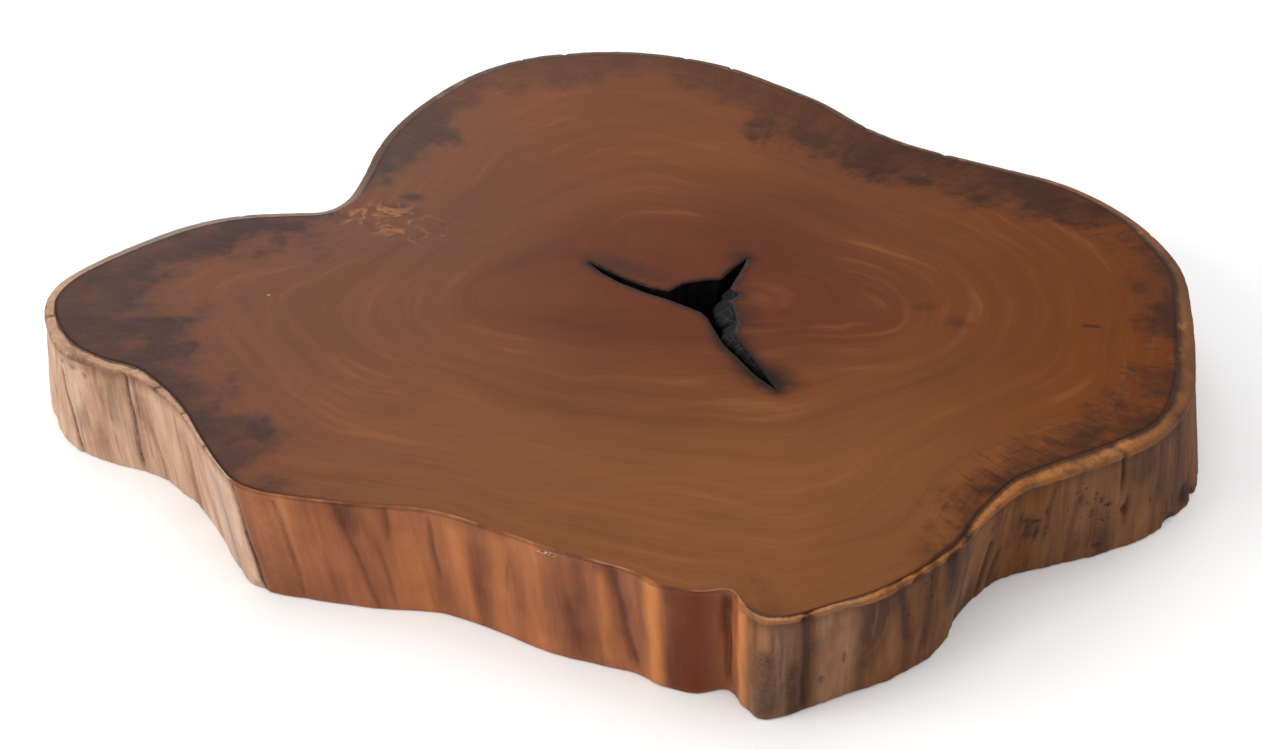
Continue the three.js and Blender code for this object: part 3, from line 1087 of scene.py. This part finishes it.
def underside():
    tree = Tree("underside")
    broad, arcs, lines = growth_rings(tree)
    colour = tree.ramp(tree.sum(tree.value("ring"), tree.swing(broad, 0.3)), UNDER_STOPS)
    x, y, _ = tree.parts(tree.place)
    across = tree.combine(tree.scaled(x, 260), tree.scaled(y, 5), 0.0)
    saw = tree.noise(1, 2, 0.5, 0.3, across)
    colour = tree.shade(colour, 0.95, (arcs, 0.6), (lines, 0.4), (saw, 0.5))
    dark, _ = dark_band(tree, arcs)
    colour = tree.paint(colour, dark, 0.6, (70, 48, 36))
    edge = tree.sum(tree.value("edge"), tree.swing(broad, 0.01))
    colour = tree.paint(colour, tree.step(edge, 0.013, 0.009), 0.8, (150, 114, 84))
    burnt = tree.step(tree.value("halo"), 0.1, 0.9)
    colour = tree.paint(colour, burnt, 0.85, (24, 18, 17))
    height = tree.blend((saw, 1.0), (lines, 0.4))
    return tree.finish(colour, tree.scaled(saw, 0.15, 0.68), height, 0.0006, 0.22)


def check_wall():
    tree = Tree("check_wall")
    rough = fibres(tree, 190, 20, 0.0, 4)
    fine = fibres(tree, 620, 40, 0.0, 3)
    lit = tree.step(tree.value("level"), 0.9, 1.0)
    colour = tree.ramp(rough, [(0.3, (5, 5, 6)), (0.7, (16, 14, 13))])
    # Ledges near the top of the check: painted sheen, as broken shards in greys as if each facet
    # caught the light differently.
    ledge = tree.times(tree.value("glow"), lit)
    ledge = tree.times(ledge, tree.sum(0.8, tree.swing(rough, 2.0)), clamp=True)
    shards = tree.voronoi(95)
    glint_edges = tree.voronoi(95, "DISTANCE_TO_EDGE")
    facet_light = tree.parts(shards.outputs["Color"])[0]
    broken = tree.mix(facet_light, (7, 7, 8), (24, 22, 25))
    # Painted highlights along the shards' edges.
    edges = tree.step(glint_edges.outputs["Distance"], 0.05, 0.01)
    broken = tree.paint(broken, edges, 0.6, (66, 60, 60))
    colour = tree.paint(colour, ledge, 0.9, broken)
    height = tree.sum(rough, tree.scaled(fine, 0.6))
    return tree.finish(colour, tree.scaled(rough, 0.3, 0.45), height, 0.0008, 0.12)


slice_piece = build_object()
for make in (polished_top, rim, wall, underside, check_wall):
    slice_piece.data.materials.append(make())
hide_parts("wood_slice")
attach(slice_piece, "root")


# -------- floor, light and camera

FLOOR_HALF = 40          # half the side of the floor, m
FLOOR_GAP = 0.3 * MM     # keeps the floor clear of the underside
FLOOR_TONE = 0.96
WORLD_TONE = 0.66
EYE_BACK = 951.9 * MM    # the camera stands this far in front of the pith,
EYE_LEFT = 49.5 * MM     # to the left of it
EYE_RISE = 625.8 * MM    # and above the top
EYE_DOWN = 36            # and looks down by this many degrees
LENS = 48.49             # focal length in mm for the sensor's width
SENSOR = 36


def pale_floor():
    """A broad, plain, pale floor just under the slab."""
    mesh = bpy.data.meshes.new("floor")
    half = FLOOR_HALF
    corners = [(-half, -half), (half, -half), (half, half), (-half, half)]
    mesh.from_pydata([(x, y, -FLOOR_GAP) for x, y in corners], [], [(0, 1, 2, 3)])
    floor = bpy.data.objects.new("floor", mesh)
    bpy.context.scene.collection.objects.link(floor)
    tree = Tree("floor")
    tree.shader.inputs["Base Color"].default_value = (FLOOR_TONE, FLOOR_TONE, FLOOR_TONE, 1)
    tree.shader.inputs["Roughness"].default_value = 0.9
    tree.shader.inputs["Specular IOR Level"].default_value = 0.1
    mesh.materials.append(tree.material)


def soft_light(name, place, size, power, colour):
    """A square or oblong area light that faces the middle of the slab."""
    light = bpy.data.lights.new(name, "AREA")
    light.shape = "RECTANGLE"
    light.size, light.size_y = size
    light.energy = power
    light.color = colour
    lamp = bpy.data.objects.new(name, light)
    bpy.context.scene.collection.objects.link(lamp)
    lamp.location = place
    aim = Vector((0, 0, TOP / 2)) - Vector(place)
    lamp.rotation_euler = aim.to_track_quat("-Z", "Y").to_euler()


def studio():
    """White surroundings, a key light from the left, one behind and one overhead."""
    world = bpy.data.worlds.new("studio")
    bpy.context.scene.world = world
    world.use_nodes = True
    background = world.node_tree.nodes["Background"]
    background.inputs["Color"].default_value = (1.0, 1.0, 1.0, 1)
    background.inputs["Strength"].default_value = WORLD_TONE
    soft_light("key", (-2.4, -1.0, 1.4), (1.6, 1.6), 46, (1.0, 0.98, 0.95))
    soft_light("haze", (-0.95, 2.3, 1.5), (1.5, 1.2), 10, (0.93, 0.96, 1.0))
    soft_light("over", (0.3, -0.2, 2.6), (2.4, 2.4), 26, (1.0, 1.0, 1.0))


def camera():
    """The camera, in front of the slab and looking down on it."""
    view = bpy.data.cameras.new("camera")
    view.sensor_width = SENSOR
    view.lens = LENS
    eye = bpy.data.objects.new("camera", view)
    bpy.context.scene.collection.objects.link(eye)
    eye.location = (PITH[0] - EYE_LEFT, PITH[1] - EYE_BACK, TOP + EYE_RISE)
    eye.rotation_euler = (math.radians(90 - EYE_DOWN), 0, 0)
    bpy.context.scene.camera = eye


pale_floor()
studio()
camera()
bpy.context.scene.view_settings.view_transform = "Standard"
